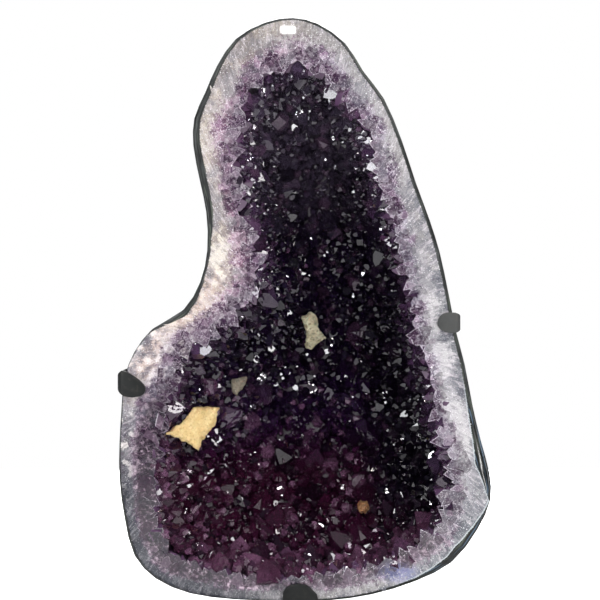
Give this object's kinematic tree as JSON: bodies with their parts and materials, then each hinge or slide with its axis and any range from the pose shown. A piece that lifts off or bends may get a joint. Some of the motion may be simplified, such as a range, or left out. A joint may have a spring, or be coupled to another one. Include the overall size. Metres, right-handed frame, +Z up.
{
  "type": "amethyst geode on a stand",
  "caption": "Cut and polished half of an amethyst geode, its hollow lined with violet quartz points, held upright by a black steel stand.",
  "frame": {"origin": "centre of the base plate's underside, on the surface that the stand rests on", "axes": "+Z up; -Y is the way that the cut face and its hollow look; +X is to the viewer's right"},
  "size_m": [0.3745, 0.26, 0.6451],
  "materials": {
    "geode_shell": "polished",
    "amethyst_crust": "gloss",
    "calcite_cream": "matte",
    "calcite_grey": "matte",
    "calcite_amber": "satin",
    "stand_steel": "satin"
  },
  "bodies": {
    "root": {"geode_shell": "geode_shell", "amethyst_crust": "amethyst_crust", "calcite_cream_large": "calcite_cream", "calcite_cream_upper": "calcite_cream", "calcite_grey_small": "calcite_grey", "calcite_amber_small": "calcite_amber", "arm_left": "stand_steel", "arm_right": "stand_steel", "arm_bottom": "stand_steel", "stand_post": "stand_steel", "stand_base": "stand_steel"}
  },
  "joints": []
}
